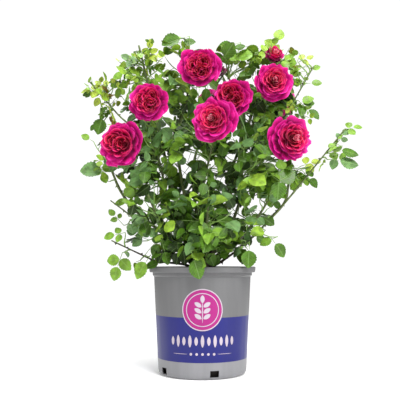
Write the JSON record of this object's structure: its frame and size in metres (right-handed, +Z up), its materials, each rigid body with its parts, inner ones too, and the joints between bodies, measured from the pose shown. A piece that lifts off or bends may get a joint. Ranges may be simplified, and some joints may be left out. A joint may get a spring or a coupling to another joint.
{
  "type": "potted rose bush",
  "caption": "Bushy rose in full bloom, with arching canes, serrated leaves and large cupped flowers, in a round grey nursery pot.",
  "frame": {"origin": "centre of the pot's flat underside, on the pot's axis", "axes": "+Z up along the pot's axis; -Y towards the front, where most blooms face; +X to the right seen from the front"},
  "size_m": [0.6099, 0.4003, 0.744],
  "materials": {
    "pot_plastic": "satin grey moulded plastic with a blue band",
    "compost": "damp dark bark and peat crumbs",
    "cane_bark": "olive green bark, brown at the foot, with thorns",
    "leaf": "semi-gloss green leaf with sunken veins",
    "petal": "velvety magenta petal, crimson in the heart"
  },
  "bodies": {
    "root": {"bloom_behind": "petal", "bloom_front": "petal", "bloom_half_open": "petal", "bloom_left": "petal", "bloom_middle": "petal", "bloom_rear_left": "petal", "bloom_rear_mid": "petal", "bloom_rear_right": "petal", "bloom_right": "petal", "bloom_top": "petal", "bloom_upper_left": "petal", "bloom_upper_right": "petal", "cane_centre": "cane_bark", "cane_centre_top": "cane_bark", "cane_high_top": "cane_bark", "cane_left_body": "cane_bark", "cane_left_low": "cane_bark", "cane_left_mid": "cane_bark", "cane_left_out": "cane_bark", "cane_left_top": "cane_bark", "cane_left_top_out": "cane_bark", "cane_rear_left": "cane_bark", "cane_rear_mid": "cane_bark", "cane_rear_right": "cane_bark", "cane_right_body": "cane_bark", "cane_right_long": "cane_bark", "cane_right_out": "cane_bark", "cane_right_side": "cane_bark", "cane_right_top": "cane_bark", "cane_right_upper": "cane_bark", "compost": "compost", "crown": "cane_bark", "foliage_centre": "leaf", "foliage_centre_foot": "leaf", "foliage_centre_top": "leaf", "foliage_high_top": "leaf", "foliage_left_body": "leaf", "foliage_left_foot": "leaf", "foliage_left_low": "leaf", "foliage_left_mid": "leaf", "foliage_left_out": "leaf", "foliage_left_top": "leaf", "foliage_left_top_out": "leaf", "foliage_rear_left": "leaf", "foliage_rear_low": "leaf", "foliage_rear_mid": "leaf", "foliage_rear_right": "leaf", "foliage_right_body": "leaf", "foliage_right_foot": "leaf", "foliage_right_long": "leaf", "foliage_right_out": "leaf", "foliage_right_side": "leaf", "foliage_right_top": "leaf", "foliage_right_upper": "leaf", "pot": "pot_plastic"}
  },
  "joints": []
}
